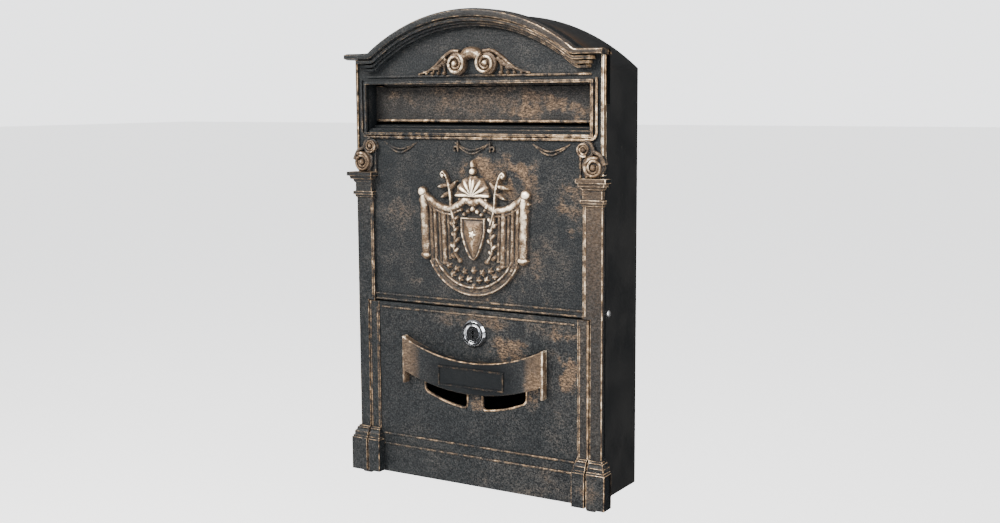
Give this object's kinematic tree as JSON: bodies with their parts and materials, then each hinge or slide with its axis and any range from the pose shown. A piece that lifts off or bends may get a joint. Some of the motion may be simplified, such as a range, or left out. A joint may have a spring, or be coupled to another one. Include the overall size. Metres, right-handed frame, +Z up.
{
  "type": "wall mounted mailbox",
  "caption": "Wall mounted mailbox with an arched cast front, a mail slot with an inward flap, a locking drop-down door with a banner pull, and a sheet metal body.",
  "frame": {"origin": "middle of the four wall holes, on the back face that lies against the wall", "axes": "+Y towards the wall, -Y out of the front, +Z up, +X to the right seen from the front"},
  "size_m": [0.257, 0.0758, 0.4135],
  "materials": {
    "cast_front": "black paint dry brushed with bronze over the raised edges",
    "sheet_body": "satin charcoal paint on sheet steel",
    "rivet": "bare rivet heads",
    "lock_chrome": "polished chrome",
    "zinc": "zinc plated steel"
  },
  "bodies": {
    "body": {"front_frame": "cast_front", "flap_rod": "zinc", "rod_clips": "zinc", "body_wrap": "sheet_body", "bottom_panel": "sheet_body", "back_panel": "sheet_body", "body_rivets": "rivet", "bottom_rivets": "rivet", "door_pin_left": "zinc", "door_pin_right": "zinc"},
    "door": {"door": "cast_front", "lock_body": "lock_chrome", "lock_washer": "zinc", "lock_nut": "zinc"},
    "flap": {"slot_flap": "cast_front"},
    "latch": {"lock_plug": "lock_chrome", "stop_washer": "zinc", "lock_cam": "zinc", "cam_washer": "zinc", "cam_screw": "zinc"}
  },
  "joints": [
    {"name": "door_hinge", "type": "hinge", "parent": "body", "child": "door", "pos_m": [0, -0.065, -0.197], "axis": [1, 0, 0], "range_deg": [0, 180]},
    {"name": "flap_hinge", "type": "hinge", "parent": "body", "child": "flap", "pos_m": [0, -0.052, 0.1545], "axis": [1, 0, 0], "range_deg": [0, 80]},
    {"name": "lock_turn", "type": "hinge", "parent": "door", "child": "latch", "pos_m": [0, -0.05, -0.0645], "axis": [0, 1, 0], "range_deg": [0, 90]}
  ]
}
